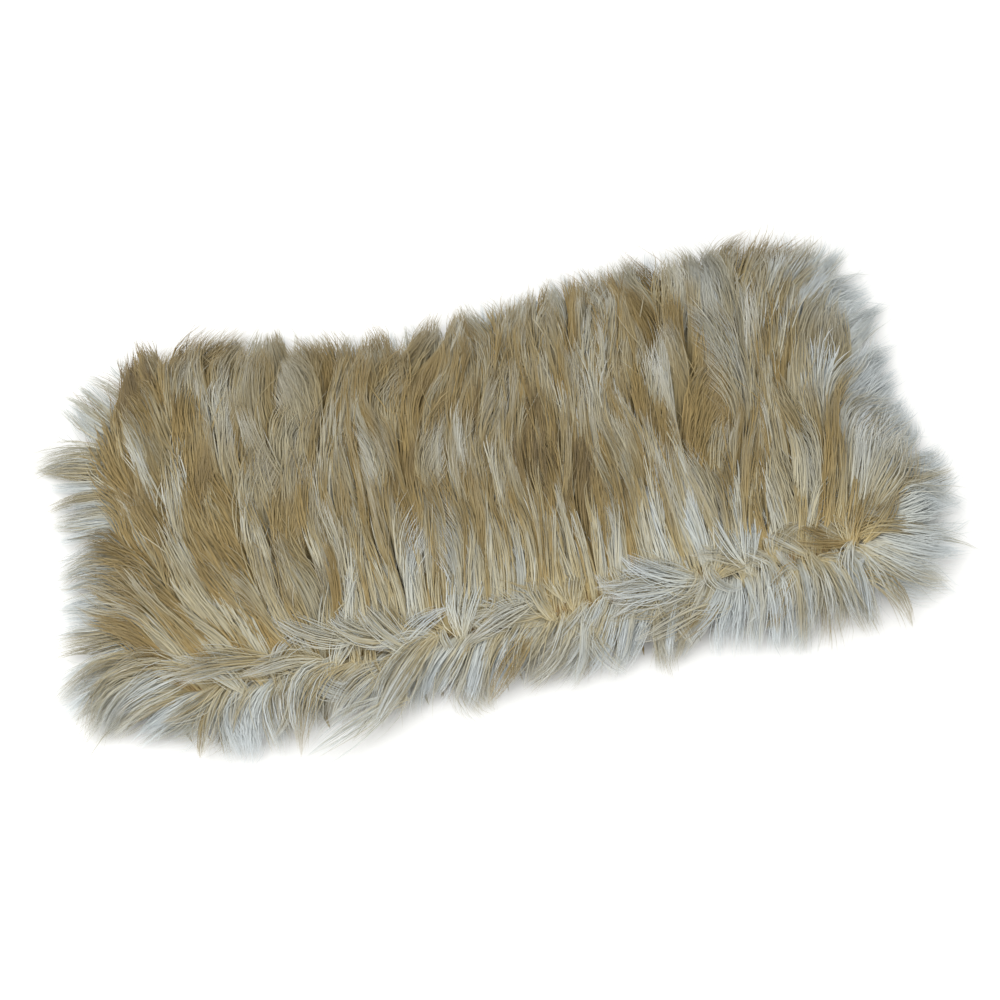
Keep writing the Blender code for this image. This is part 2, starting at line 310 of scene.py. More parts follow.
# How the top pile lies: the heading of its tips in degrees from straight back, turning
# towards +X, at chosen places of the laid wrap
TOP_NAP = (
    # x, y, heading
    (-0.290, 0.140, -20),
    (-0.268, 0.080, -50),
    (-0.265, 0.030, -52),
    (-0.268, -0.020, -58),
    (-0.270, -0.070, -70),
    (-0.265, -0.110, -85),
    (-0.235, 0.105, 8),
    (-0.200, 0.095, -4),
    (-0.165, 0.090, 4),
    (-0.130, 0.080, 32),
    (-0.100, 0.072, 26),
    (-0.065, 0.065, 20),
    (-0.030, 0.055, 34),
    (0.005, 0.047, 16),
    (0.040, 0.040, 6),
    (0.082, 0.060, 13),
    (0.110, 0.035, -4),
    (0.150, 0.040, 12),
    (0.190, 0.035, 19),
    (0.220, 0.027, 24),
    (-0.236, 0.070, -2),
    (-0.170, 0.057, -3),
    (-0.105, 0.040, 12),
    (-0.070, 0.032, -7),
    (-0.037, 0.024, 13),
    (0.000, 0.015, 10),
    (0.065, 0.000, 5),
    (0.097, -0.010, -8),
    (0.131, -0.018, 2),
    (0.164, -0.027, 19),
    (0.200, -0.035, 7),
    (0.232, -0.043, 16),
    (-0.236, 0.005, -6),
    (-0.210, 0.030, -3),
    (-0.148, -0.010, -7),
    (-0.112, -0.012, 6),
    (-0.080, -0.020, -5),
    (-0.020, -0.035, 0),
    (0.050, -0.050, 1),
    (0.110, -0.068, -4),
    (0.147, -0.076, 14),
    (0.180, -0.084, 4),
    (0.212, -0.092, 20),
    (-0.240, -0.030, -14),
    (-0.215, -0.040, -18),
    (-0.155, -0.050, -12),
    (-0.090, -0.070, 0),
    (-0.027, -0.083, 11),
    (0.036, -0.099, 3),
    (-0.245, -0.079, -34),
    (-0.222, -0.078, -34),
    (-0.190, -0.085, -28),
    (-0.160, -0.095, -24),
    (-0.120, -0.090, 12),
    (-0.065, -0.100, 5),
    (0.100, -0.114, -14),
    (0.262, 0.060, 46),
    (0.268, 0.010, 54),
    (0.262, -0.050, 58),
    (0.250, -0.110, 88),
    (0.000, 0.125, 8),
    (0.150, 0.130, 8),
    (0.262, 0.095, 47),
    (0.285, 0.120, 42),
)
NAP_SOFTNESS = 0.014
TRACE_STRIDE = 0.014
TRACE_STEPS = 18

# Slow bends that run through the whole nap
NAP_BENDS = (
    # length of the bend in x and in y, start, degrees
    (0.110, 0.170, 0.4, 4),
    (0.062, -0.120, 2.1, 4),
    (-0.045, 0.075, 4.0, 3),
)


def blend(table, x, y, *columns):
    """Columns of values at places, blended from a table whose rows start with x and y."""
    rows = np.array([row[:2] for row in table])
    away = (x[:, None] - rows[:, 0]) ** 2 + (y[:, None] - rows[:, 1]) ** 2
    weight = 1 / (away + NAP_SOFTNESS**2) ** 2
    weight /= weight.sum(axis=1, keepdims=True)
    return [weight @ column for column in columns]


def nap_heading(nap, x, y):
    """The heading of the nap at places, in radians."""
    turns = np.radians([row[2] for row in nap])
    across, along = blend(nap, x, y, np.sin(turns), np.cos(turns))
    heading = np.arctan2(across, along)
    for length_x, length_y, start, degrees in NAP_BENDS:
        beat = 2 * math.pi * (x / length_x + y / length_y) + start
        heading = heading + math.radians(degrees) * np.sin(beat)
    return heading


def even_scatter(count, low, high, chance):
    """About count places spread evenly over a box, one at random in each cell of a grid."""
    width, height = high[0] - low[0], high[1] - low[1]
    pitch = math.sqrt(width * height / count)
    columns, rows = math.ceil(width / pitch), math.ceil(height / pitch)
    i, j = np.meshgrid(np.arange(columns), np.arange(rows), indexing="ij")
    places = np.stack([i.ravel(), j.ravel()], axis=1) + chance.random((columns * rows, 2))
    return np.array(low) + places * pitch


def scatter_on_panel(count, inset, chance):
    """Evenly scattered places on the cut panel that keep the inset from its edge."""
    low, high = (-BACKING_LENGTH / 2, 0.0), (BACKING_LENGTH / 2, BACKING_WIDTH)
    places = even_scatter(count, low, high, chance)
    return places[outside_panel(places[:, 0], places[:, 1]) < -inset]


def along_nap(nap, x, y):
    """Where the hair through each place leaves the seam, and how far it has run since."""
    run = np.zeros(len(x))
    for _ in range(TRACE_STEPS):
        heading = nap_heading(nap, x, y)
        step = np.where(y > SEAM_Y, TRACE_STRIDE, 0.0)
        x = x - step * np.sin(heading)
        y = y - step * np.cos(heading)
        run = run + step
    return np.stack([x, run + y - SEAM_Y], axis=1)


def sort_to_locks(places, across, along, chance):
    """The number of each place's lock, the nearest of some evenly scattered ones."""
    scaled = places / (across, along)
    low, high = scaled.min(axis=0) - 0.5, scaled.max(axis=0) + 0.5
    centres = even_scatter(float(np.prod(high - low)), low, high, chance)
    tree = KDTree(len(centres))
    for number, centre in enumerate(centres):
        tree.insert((centre[0], centre[1], 0), number)
    tree.balance()
    owner = np.array([tree.find((place[0], place[1], 0))[1] for place in scaled])
    return np.unique(owner, return_inverse=True)[1]


def mean_of(values, owner):
    """The mean of the values that share an owner, for each owner."""
    counts = np.bincount(owner)
    if values.ndim == 1:
        return np.bincount(owner, weights=values) / counts
    return np.stack([mean_of(column, owner) for column in values.T], axis=1)


def run_strands(roots, length, turn, bend, pitch, nap):
    """Follows each strand from its root, with the nap's heading and a pitch that changes."""
    paths = np.zeros((len(roots), STRAND_POINTS, 3))
    paths[:, 0] = roots
    place = roots.copy()
    step = length / (STRAND_POINTS - 1)
    for k in range(1, STRAND_POINTS):
        share = (k - 0.5) / (STRAND_POINTS - 1)
        heading = nap_heading(nap, place[:, 0], place[:, 1]) + turn + bend * share
        climb = pitch(share)
        level = np.cos(climb)
        stride = np.stack([np.sin(heading) * level, np.cos(heading) * level, np.sin(climb)], axis=1)
        place = place + step[:, None] * stride
        paths[:, k] = place
    return paths


def off_panel(x, y):
    """How far places on the table lie outside the top panel's edge, negative over it."""
    along, across = x - MIDDLE_X, y - SEAM_Y
    across = across - eased_table(BACK_WAVE, along) * np.clip(across / BACKING_WIDTH, 0, 1)
    return outside_panel(along, across)


TOP_REACH = (
    # x, y, share of the pile's length
    (0.000, 0.000, 1.00),
    (-0.150, -0.100, 1.00),
    (0.150, -0.100, 1.00),
    (-0.120, 0.060, 1.00),
    (0.120, 0.060, 1.05),
    (-0.235, 0.090, 1.20),
    (0.235, 0.080, 1.48),
    (0.235, 0.020, 1.25),
    (0.235, -0.090, 1.05),
    (-0.235, -0.090, 1.05),
)
LEAN_DEPTH = 0.034

# Degrees at a strand's root and tip: the first on the panel's edge, the second what is
# added well inside it. The tip of a lifted strand rises by a few more.
TOP_RISE = (26, 52)
TOP_FALL = (-16, 11)
TOP_TIP_LIFT = 20
TOP_LIFTS = (0.40, 1.30)
TOP_LEVELLING = 2.3
SEAM_STEEPNESS = 3

# The share of its height that a strand loses one pile length past the panel's edge
SINK = 0.62
SINK_LIMIT = 1.2


def reach_at(table, x, y):
    """The share of the pile's length that hair rooted at places has."""
    return blend(table, x, y, np.array([row[2] for row in table]))[0]


def grow_top(roots, turn, bend, lift, shorter):
    """Paths over the top panel: steep at the root, then level. Those at its edges lean out."""
    inside = np.clip(-off_panel(roots[:, 0], roots[:, 1]) / LEAN_DEPTH, 0, 1)
    near_seam = roots[:, 1] < SEAM_Y + LEAN_DEPTH
    inside = np.where(near_seam, np.clip(inside * SEAM_STEEPNESS, 0, 1), inside)
    steep = np.radians(TOP_RISE[0] + TOP_RISE[1] * inside) * np.clip(lift, *TOP_LIFTS)
    last = np.radians(TOP_FALL[0] + TOP_FALL[1] * inside) + np.radians(TOP_TIP_LIFT) * (lift - 1)

    def pitch(share):
        return steep * (1 - share) ** TOP_LEVELLING + last * share

    length = PILE_LENGTH * reach_at(TOP_REACH, roots[:, 0], roots[:, 1]) * (1 - shorter)
    return run_strands(roots, length, turn, bend, pitch, TOP_NAP)


def drape(paths):
    """Lets what reaches past the panel's edge sink towards the table."""
    out = np.clip(off_panel(paths[..., 0], paths[..., 1]) / PILE_LENGTH, 0, SINK_LIMIT)
    paths[..., 2] = np.maximum(FLOOR_CLEAR, paths[..., 2] * (1 - SINK * out))
    return paths


def wave(paths, chance):
    """A slight sideways wave along each path."""
    count = len(paths)
    share = np.linspace(0, 1, STRAND_POINTS)[None, :]
    beat = chance.uniform(*WAVE_BEATS, (count, 1))
    phase = chance.uniform(0, 2 * math.pi, (count, 1))
    push = WAVE_SIZE * share * np.sin(2 * math.pi * beat * share + phase)
    push = push * chance.uniform(*WAVE_SPREAD, (count, 1))
    heading = paths[:, -1] - paths[:, 0]
    side = np.stack([heading[:, 1], -heading[:, 0], np.zeros(count)], axis=1)
    side /= np.linalg.norm(side, axis=1, keepdims=True) + 1e-9
    return paths + push[..., None] * side[:, None, :]


def directions(paths):
    """The unit direction of each path at each of its points."""
    tangent = np.gradient(paths, axis=1)
    return tangent / (np.linalg.norm(tangent, axis=2, keepdims=True) + 1e-12)


def make_locks(roots, places, grow, chance, loose=0.0, hold=1.0):
    """Paths gathered step by step into locks, with each strand's tone, a painted highlight along
    its lock's crest included, and its lock's path.

    places holds a coordinate across the nap and one along it for each root. loose is the
    turn, in degrees, by which the middle and small locks stray further, and hold the share
    of its usual pull that each lock keeps.
    """
    groups = [(roots, places, np.zeros(len(roots)) + loose)]
    owners = []
    for across, along, *_ in reversed(LOCK_LEVELS[:-1]):
        owner = sort_to_locks(groups[0][1], across, along, chance)
        groups.insert(0, tuple(mean_of(values, owner) for values in groups[0]))
        owners.insert(0, owner)
    share = np.linspace(0, 1, STRAND_POINTS)[None, :, None]
    paths = tone = lock_paths = None
    for number, (group, sizes) in enumerate(zip(groups, LOCK_LEVELS)):
        pull, start, turn, bend, lift, short, tone_spread = sizes[2:]
        starts, _, wild = group
        count = len(starts)
        wild = wild * LOOSE_SHARES[number]
        turns = np.clip(chance.normal(0, 1, count), -CHANCE_LIMIT, CHANCE_LIMIT)
        turns = np.radians(turns * (turn + wild))
        bends = np.clip(chance.normal(0, 1, count), -CHANCE_LIMIT, CHANCE_LIMIT)
        bends = np.radians(bends * (bend + wild))
        lifts = 1 + chance.normal(0, lift, count)
        shorter = np.minimum(SHORTEST, np.abs(chance.normal(0, short, count)))
        stray = np.zeros(count, dtype=bool)
        if number == len(LOCK_LEVELS) - 1:
            stray = chance.random(count) < STRAY_SHARE
            turns = turns + stray * np.radians(chance.normal(0, STRAY_TURN, count))
        grown = wave(grow(starts, turns, bends, lifts, shorter), chance)
        tones = chance.normal(0, tone_spread, count)
        if number == 0:
            paths, tone = grown, tones
            continue
        owner = owners[number - 1]
        lock_paths = (paths if number < 3 else lock_paths)[owner]
        apart = paths[owner] - grown
        forward = directions(grown)
        lengthwise = forward * np.sum(forward * apart, axis=2, keepdims=True)
        apart = apart - GATHER_SIDEWAYS * lengthwise
        gathered = grown + hold * pull * share**start * apart
        paths = np.where(stray[:, None, None], grown, gathered)
        tone = tone[owner] + tones
    # Painted highlight and shade: strands near the middle of their lock are made paler, those far
    # out darker
    aside = np.linalg.norm(paths - lock_paths, axis=2)[:, STRAND_POINTS // 2]
    tone = tone + CREST_HIGHLIGHT * np.clip(1 - aside / aside.mean(), -1, 1)
    return paths, TONE_LIMIT * np.tanh(tone / TONE_LIMIT), lock_paths


def make_ribbons(name, groom, chance, width=STRAND_WIDTH, underfur=0.0):
    """Joins thousands of flat tapering strands into one mesh.

    groom holds the strands' paths, their tones and the paths of their locks. Each strand
    faces away from the middle of its lock, which rounds the lock. The map OFBake holds a
    strand's tone across and its length upwards, so that strands of one tone share one
    pattern. underfur is the share of strands that lie deeper, shorter and wider, as the
    woolly hair beneath the long one does.
    """
    paths, tone, lock_paths = groom
    count, points = paths.shape[0], paths.shape[1]
    under = chance.random(count) < underfur
    station = np.linspace(0, UNDERFUR_LENGTH * (points - 1), points)
    first, part = station.astype(int), (station % 1)[None, :, None]
    short = paths[:, first] * (1 - part) + paths[:, first + 1] * part
    short[..., 2] -= UNDERFUR_DEPTH
    paths = np.where(under[:, None, None], short, paths)
    tone = tone + UNDERFUR_TONE * under
    thick = np.where(under, UNDERFUR_WIDTH, chance.uniform(*STRAND_SPREAD, count))
    tangent = directions(paths)
    away = paths - lock_paths
    away = away - tangent * np.sum(away * tangent, axis=2, keepdims=True)
    away /= np.linalg.norm(away, axis=2, keepdims=True) + LOCK_CORE
    facing = LOCK_ROUNDNESS * away + chance.normal(0, FACING_SPREAD, (count, 1, 3))
    facing[..., 2] += 1.0
    facing = facing - tangent * np.sum(facing * tangent, axis=2, keepdims=True)
    facing /= np.linalg.norm(facing, axis=2, keepdims=True) + 1e-9
    side = np.cross(tangent, facing)
    share = np.linspace(0, 1, points)
    taper = np.interp(share, *STRAND_TAPER)
    half = 0.5 * width * thick[:, None, None] * taper[None, :, None]
    left, right = paths - side * half, paths + side * half
    pairs = np.stack([left[:, :-1], right[:, :-1]], axis=2).reshape(count, -1, 3)
    verts = np.concatenate([pairs, paths[:, -1:]], axis=1)
    verts[..., 2] = np.maximum(verts[..., 2], FLOOR_CLEAR / 2)
    per = verts.shape[1]
    rung = np.arange(points - 2)[:, None] * 2
    quads = rung + np.array([0, 1, 3, 2])
    tip = np.array([per - 3, per - 2, per - 1])
    loops = np.concatenate([quads.ravel(), tip])
    starts = np.concatenate([np.arange(points - 2) * 4, [4 * (points - 2)]])
    base = np.arange(count)[:, None]
    all_loops = (loops[None] + base * per).ravel()
    all_starts = (starts[None] + base * len(loops)).ravel()
    mesh = bpy.data.meshes.new(name)
    mesh.vertices.add(count * per)
    mesh.loops.add(len(all_loops))
    mesh.polygons.add(len(all_starts))
    mesh.vertices.foreach_set("co", verts.ravel())
    mesh.polygons.foreach_set("loop_start", all_starts.astype(np.int32))
    mesh.polygons.foreach_set("vertices", all_loops.astype(np.int32))
    mesh.polygons.foreach_set("use_smooth", np.ones(len(all_starts), dtype=bool))
    tone = np.clip(tone, *TONE_ENDS)
    across = np.stack([tone, tone + TONE_ACROSS], axis=1)[:, None, :].repeat(points - 1, axis=1)
    across = np.concatenate([across.reshape(count, -1), tone[:, None] + TONE_ACROSS / 2], axis=1)
    lengthwise = np.concatenate([share[:-1].repeat(2), [1.0]])[None].repeat(count, axis=0)
    lengthwise = MAP_MARGIN + (1 - 2 * MAP_MARGIN) * lengthwise
    uv = np.stack([across, lengthwise], axis=2).reshape(-1, 2)
    mesh.uv_layers.new(name="OFBake")
    mesh.uv_layers["OFBake"].data.foreach_set("uv", uv[all_loops].ravel())
    mesh.update(calc_edges=True)
    mesh.validate()
    mesh.materials.append(fur)
    pile = bpy.data.objects.new(name, mesh)
    bpy.context.scene.collection.objects.link(pile)
    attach(pile, "root")
    return pile


# Where the fur shows more silver and where more brown: partly the fur's own mix of tones, partly
# painted shade, darker towards the back edge, across the middle and in brown hollows between locks,
# and partly painted light, a pale bluish silver at the right end
TONE_AND_LIGHT_PATCHES = (
    # x, y, reach, tone with its painted shade and painted light
    (-0.215, -0.060, 0.050, -0.12),
    (-0.170, 0.015, 0.030, -0.08),
    (-0.200, 0.135, 0.045, -0.30),
    (-0.210, 0.065, 0.035, 0.12),
    (-0.090, 0.085, 0.035, -0.16),
    (-0.070, 0.005, 0.035, -0.10),
    (-0.040, 0.045, 0.030, -0.14),
    (0.045, -0.035, 0.040, -0.34),
    (0.060, 0.060, 0.030, -0.14),
    (-0.140, -0.085, 0.040, 0.06),
    (-0.060, -0.080, 0.050, 0.14),
    (0.010, -0.085, 0.040, 0.16),
    (0.100, -0.095, 0.050, 0.36),
    (0.115, 0.030, 0.045, 0.10),
    (0.150, 0.120, 0.035, -0.12),
    (0.190, 0.110, 0.050, 0.12),
    (0.185, -0.020, 0.040, -0.10),
    (0.275, -0.010, 0.050, 0.42),
    (0.275, 0.080, 0.050, 0.46),
    (0.240, -0.110, 0.050, 0.12),
)
TONE_MIDDLE = 0.42


def patch_tone_and_light(paths):
    """The tone, painted shade and painted light that the patches give each strand, read two thirds
    of the way along it.
    """
    x, y = paths[:, -3, 0], paths[:, -3, 1]
    total = np.full(len(paths), TONE_MIDDLE)
    for place_x, place_y, reach, tone in TONE_AND_LIGHT_PATCHES:
        total += tone * np.exp(-((x - place_x) ** 2 + (y - place_y) ** 2) / reach**2)
    return total


# Modacrylic fur fibre: a dyed gradient from golden root to silver tip, with the root and lower
# third painted paler still, painted light for the glow that hair scatters deep into the pile, a
# soft gloss in fine streaks along the hair, and no two locks of quite the same tone
FUR_TONES = (
    # tone, then colours at the root, a third up, two thirds up and at the tip
    (0.00, ("CBB584", "85744F", "675A42", "82745A")),
    (0.22, ("D0B880", "9C8659", "8A784F", "A8966E")),
    (0.42, ("D1BE8C", "A4956E", "877B5D", "A99E82")),
    (0.66, ("D4C79E", "B7AF93", "A39E89", "C8C6B9")),
    (1.00, ("D4CFB9", "C2C6C0", "B8BEBE", "E0E6E8")),
)
FUR_HEIGHTS = (0.30, 0.66)
STREAKS_PER_TONE = 260.0
STREAKS_PER_LENGTH = 2.2

fur, shader = finish_material("modacrylic_fur")
strand_map = add_node(fur, "ShaderNodeUVMap", settings={"uv_map": "OFBake"})
split = add_node(fur, "ShaderNodeSeparateXYZ", links={"Vector": strand_map.outputs["UV"]})
mixed = None
for number, (tone, colours) in enumerate(FUR_TONES):
    ramp = add_node(fur, "ShaderNodeValToRGB", links={"Fac": split.outputs["Y"]})
    stops = ramp.color_ramp.elements
    stops[1].color = linear(colours[-1])
    stops[0].color = linear(colours[0])
    for height, colour in zip(FUR_HEIGHTS, colours[1:-1]):
        stops.new(height).color = linear(colour)
    if mixed is None:
        mixed = ramp.outputs["Color"]
        continue
    share = add_node(
        fur,
        "ShaderNodeMapRange",
        values={"From Min": FUR_TONES[number - 1][0], "From Max": tone},
        links={"Value": split.outputs["X"]},
    )
    mixed = add_node(
        fur,
        "ShaderNodeMix",
        settings={"data_type": "RGBA"},
        links={"Factor": share.outputs["Result"], 6: mixed, 7: ramp.outputs["Color"]},
    ).outputs[2]
stretch = add_node(
    fur,
    "ShaderNodeMapping",
    values={"Scale": (STREAKS_PER_TONE, STREAKS_PER_LENGTH, 1.0)},
    links={"Vector": strand_map.outputs["UV"]},
)
streaks = add_node(
    fur,
    "ShaderNodeTexNoise",
    values={"Scale": 1.0, "Detail": 2.0},
    links={"Vector": stretch.outputs["Vector"]},
)
streak_shade = add_node(
    fur,
    "ShaderNodeMapRange",
    values={"To Min": 0.93, "To Max": 1.06},
    links={"Value": streaks.outputs["Fac"]},
)
streaked = add_node(
    fur,
    "ShaderNodeMix",
    settings={"data_type": "RGBA", "blend_type": "MULTIPLY"},
    values={"Factor": 1.0},
    links={6: mixed, 7: streak_shade.outputs["Result"]},
)
fur.node_tree.links.new(streaked.outputs[2], shader.inputs["Base Color"])
gloss = add_node(
    fur,
    "ShaderNodeMapRange",
    values={"To Min": 0.62, "To Max": 0.78},
    links={"Value": streaks.outputs["Fac"]},
)
fur.node_tree.links.new(gloss.outputs["Result"], shader.inputs["Roughness"])
shader.inputs["Specular IOR Level"].default_value = 0.10

# Near the seam the two naps meet and the locks stray further
SEAM_TANGLE = 0.022
SEAM_LOOSE = 34

chance = np.random.default_rng(200)
places = scatter_on_panel(TOP_STRANDS, 0.0, chance)
x, y = lay(places[:, 0], places[:, 1])
z = TOP_LEVEL + BACKING_THICKNESS + loft(places[:, 0], places[:, 1])
loose = SEAM_LOOSE * np.clip(1 - places[:, 1] / SEAM_TANGLE, 0, 1)
top_roots = np.column_stack([x, y, z])
paths, tone, lock_paths = make_locks(top_roots, along_nap(TOP_NAP, x, y), grow_top, chance, loose)
# The patches add their painted shade and painted light to each strand's tone
tone = tone + patch_tone_and_light(paths)
paths, lock_paths = drape(paths), drape(lock_paths)
for number, (start, end) in enumerate(zip(TOP_CUTS, TOP_CUTS[1:])):
    cut = (x >= start) & (x < end)
    groom = (paths[cut], tone[cut], lock_paths[cut])
    pile = make_ribbons(f"top_pile_{number + 1}", groom, chance, underfur=UNDERFUR_SHARE)
    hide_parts("top_panel")


# The pile round the edges: the under panel's hair is squashed beneath the wrap and comes
# out all round, most of it at the seam, where it arches forward and down to the table.

EDGE_NAP = (
    # x, y, heading
    (-0.270, -0.105, -95),
    (-0.255, -0.120, -122),
    (-0.280, -0.140, -135),
    (-0.235, -0.105, -92),
    (-0.235, -0.130, -110),
    (-0.208, -0.112, -102),
    (-0.208, -0.138, -160),
    (-0.182, -0.120, -130),
    (-0.183, -0.150, -172),
    (-0.154, -0.122, -105),
    (-0.158, -0.150, -168),
    (-0.127, -0.128, -118),
    (-0.131, -0.153, -130),
    (-0.098, -0.125, -122),
    (-0.100, -0.152, -155),
    (-0.067, -0.128, -130),
    (-0.042, -0.131, -142),
    (-0.010, -0.132, -140),
    (0.005, -0.150, -152),
    (0.027, -0.141, -152),
    (0.045, -0.150, -142),
    (0.068, -0.137, -145),
    (0.100, -0.141, -148),
    (0.140, -0.141, -161),
    (0.173, -0.142, -176),
    (0.207, -0.143, 170),
    (0.225, -0.150, 150),
    (0.247, -0.135, 118),
    (0.262, -0.083, 80),
    (0.282, -0.013, 64),
    (0.290, 0.060, 58),
    (0.270, 0.110, 54),
    (0.200, 0.140, 15),
    (0.100, 0.130, 5),
    (0.000, 0.125, 12),
    (-0.100, 0.130, 15),
    (-0.200, 0.150, 0),
    (-0.260, 0.130, -35),
    (-0.280, 0.050, -72),
    (-0.280, -0.030, -82),
    (-0.280, -0.080, -88),
)
EDGE_REACH = (
    # x, y, share of the pile's length
    (-0.250, -0.110, 1.12),
    (-0.205, -0.119, 0.84),
    (-0.150, -0.119, 0.92),
    (-0.050, -0.119, 0.88),
    (0.100, -0.119, 0.90),
    (0.200, -0.119, 1.00),
    (0.240, -0.105, 1.15),
    (0.245, -0.020, 1.05),
    (0.245, 0.040, 1.38),
    (0.240, 0.085, 1.60),
    (0.200, 0.100, 1.10),
    (0.000, 0.090, 1.00),
    (-0.200, 0.105, 1.00),
    (-0.240, 0.095, 1.18),
    (-0.245, 0.000, 0.95),
)
EDGE_SECTIONS = (
    # name, replaced node, strands, height of the highest roots, looseness in degrees
    ("front_pile", "front_locks", 15500, 0.018, 16.0),
    ("back_pile", "back_locks", 2800, 0.012, 0.0),
    ("left_end_pile", "left_end_locks", 2200, 0.012, 0.0),
    ("right_end_pile", "right_end_locks", 2800, 0.012, 0.0),
)
RIM_LOW = 0.004
RIM_HIGH = 0.017
RIM_DEPTH = 0.006
RIM_LOCK_HEIGHT = 2.5
END_INSET = 0.012
EDGE_SHORTNESS = 1.5
EDGE_SHORTEST = 0.6
EDGE_TONE = 0.36
EDGE_HOLD = 1.04
EDGE_WIDTH = 0.00046
EDGE_LIFTS = (0.5, 1.5)

# Degrees at a strand's root and tip: the first at the low rim, the second what is added
# at the high one
EDGE_RISE = (5, 56)
EDGE_FALL = (-14, -42)
EDGE_ARCH = 0.8


def grow_edge(roots, turn, bend, lift, shorter):
    """Paths that leave the wrap's edge: high ones arch over, low ones run out level."""
    reach = reach_at(EDGE_REACH, roots[:, 0], roots[:, 1])
    high = np.clip((roots[:, 2] - RIM_LOW) / (RIM_HIGH - RIM_LOW), 0, 1)
    first = np.radians(EDGE_RISE[0] + EDGE_RISE[1] * high) * np.clip(lift, *EDGE_LIFTS)
    last = np.radians(EDGE_FALL[0] + EDGE_FALL[1] * high)

    def pitch(share):
        return first + (last - first) * share**EDGE_ARCH

    length = PILE_LENGTH * reach * (1 - np.minimum(EDGE_SHORTEST, EDGE_SHORTNESS * shorter))
    return run_strands(roots, length, turn, bend, pitch, EDGE_NAP)


def rim_places(name, count, chance):
    """Root places on one side of the rim, in the cut panel's own directions."""
    half, corner = BACKING_LENGTH / 2, BACKING_CORNER
    if name in ("front_pile", "back_pile"):
        along = chance.uniform(-half, half, count)
        past = np.maximum(0, np.abs(along) - (half - corner))
        inset = corner - np.sqrt(np.maximum(0, corner**2 - past**2))
        across = inset if name == "front_pile" else BACKING_WIDTH - inset
    else:
        across = chance.uniform(END_INSET, BACKING_WIDTH - END_INSET, count)
        past = np.maximum(0, np.abs(across - BACKING_WIDTH / 2) - (BACKING_WIDTH / 2 - corner))
        inset = corner - np.sqrt(np.maximum(0, corner**2 - past**2))
        along = half - inset if name == "right_end_pile" else inset - half
    return along, across


for number, (name, node, count, highest, loose) in enumerate(EDGE_SECTIONS):
    chance = np.random.default_rng(300 + number)
    along, across = rim_places(name, count, chance)
    x, y = lay(along, across)
    depth = chance.uniform(-1, 1, count) * RIM_DEPTH / 2
    if name in ("front_pile", "back_pile"):
        beside, y = along, y + depth
    else:
        beside, x = across, x + depth
    z = RIM_LOW + (highest - RIM_LOW) * np.sqrt(chance.random(count))
    rim = np.column_stack([beside, RIM_LOCK_HEIGHT * z])
    roots = np.column_stack([x, y, z])
    paths, tone, lock_paths = make_locks(roots, rim, grow_edge, chance, loose, EDGE_HOLD)
    lowest = FLOOR_CLEAR + RIM_LOW * chance.random((count, 1))
    paths[..., 2] = np.maximum(paths[..., 2], lowest)
    # The patches add their painted shade and painted light here too
    tone = tone + patch_tone_and_light(paths) + EDGE_TONE
    pile = make_ribbons(name, (paths, tone, lock_paths), chance, EDGE_WIDTH)
    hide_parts(node)


# The tangle along the seam: here and there the top panel's hair has parted into curled
# locks that cross the seam, as happens where two naps meet.

SEAM_LOCKS = (
    # x, y, heading at the root and at the tip, share of the pile, tone, strands
    (-0.065, -0.119, -114, -124, 1.00, 0.92, 140),
    (-0.094, -0.135, -117, -131, 0.90, 0.80, 110),
    (-0.131, -0.080, -65, -131, 0.80, 0.62, 100),
    (-0.136, -0.093, -82, -45, 0.80, 0.70, 80),
    (-0.138, -0.068, -44, -16, 0.80, 0.45, 90),
    (-0.098, -0.113, -87, 10, 1.00, 0.95, 135),
    (-0.074, -0.122, -60, 17, 0.95, 0.80, 100),
    (-0.133, -0.116, -98, -141, 0.90, 0.75, 105),
    (-0.172, -0.110, -71, -109, 1.00, 0.90, 110),
    (-0.209, -0.106, -65, -98, 1.00, 0.80, 105),
    (-0.045, -0.119, -14, 21, 0.90, 0.92, 90),
    (0.000, -0.119, -128, -152, 0.80, 0.70, 90),
    (0.016, -0.115, -43, 2, 0.80, 0.70, 90),
    (0.067, -0.113, -74, -42, 0.70, 0.80, 80),
    (0.106, -0.117, -85, -59, 0.80, 0.90, 100),
    (0.091, -0.125, -100, -82, 0.80, 0.85, 90),
    (0.117, -0.133, -122, -107, 0.80, 0.80, 100),
    (0.145, -0.121, 6, 23, 0.90, 1.05, 105),
    (0.210, -0.111, -29, -2, 0.80, 0.50, 90),
    (0.212, -0.110, 26, 38, 0.80, 0.35, 90),
    (0.213, -0.114, 75, 64, 0.80, 0.55, 90),
    (0.207, -0.114, -82, -40, 0.70, 0.45, 80),
    (0.213, -0.124, 128, 146, 0.80, 0.80, 100),
    (0.171, -0.124, -107, -134, 0.80, 0.80, 90),
)
STRAIGHT_NAP = ((0.0, 0.0, 0),)
SEAM_LOCK_HEIGHT = 0.022
SEAM_LOCK_SIZE = 0.0014
SEAM_LOCK_SHAPE = (1.0, 1.0, 0.3)
SEAM_LOCK_PULL = (1.02, 0.32)
SEAM_LOCK_SHARES = 3
SEAM_LOCK_SPREAD = (0.0045, 0.0045, 14, 34, 0.12, 0.16, 0)
SEAM_RISE = 38
SEAM_FALL = 9
SEAM_LEVELLING = 1.8

# How far the strands of one lock stray
SEAM_STRAND_TURN = 20
SEAM_STRAND_BEND = 30
SEAM_STRAND_LIFT = 0.25
SEAM_STRAND_SHORTNESS = 0.26
SEAM_STRAND_SHORTEST = 0.6
SEAM_TONE_SHIFT = -0.12
SEAM_TONE_SPREAD = 0.10

# The small locks between them run forward or back from the seam
SMALL_SEAM_LOCKS = 90
SMALL_SPAN = (-0.205, 0.215)
SMALL_SHIFT = 0.003
SMALL_OFFSET = (0.001, 0.005)
SMALL_FORWARD_SHARE = 0.45
SMALL_HEADINGS = (-148, -12)
SMALL_TURN = 34
SMALL_BEND = 90
SMALL_REACH = (0.38, 0.78)
SMALL_STRANDS = (18, 36)
SMALL_TONE = (0.82, 0.12)


